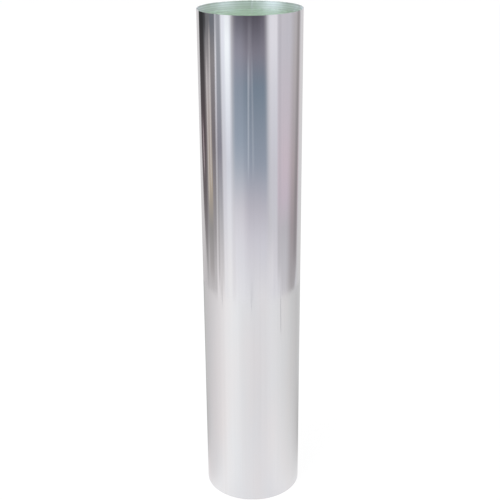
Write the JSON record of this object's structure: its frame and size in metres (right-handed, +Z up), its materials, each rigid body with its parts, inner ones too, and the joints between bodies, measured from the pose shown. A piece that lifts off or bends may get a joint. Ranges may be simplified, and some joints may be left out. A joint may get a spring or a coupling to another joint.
{
  "type": "rigid light tube for a tubular skylight",
  "caption": "Straight round tube of bright rolled aluminium sheet with a folded lock seam, open at both ends, that carries daylight down from a roof light.",
  "frame": {"origin": "on the tube's axis, in the plane of its lower cut end", "axes": "+Z up along the tube's axis, +Y towards the folded seam at the back, -Y towards the side that shows no seam"},
  "size_m": [0.2498, 0.2517, 1.28],
  "materials": {
    "bright_aluminium": "bright rolled mirror sheet, specular inside, bright outside"
  },
  "bodies": {
    "root": {"light_tube": "bright_aluminium"}
  },
  "joints": []
}
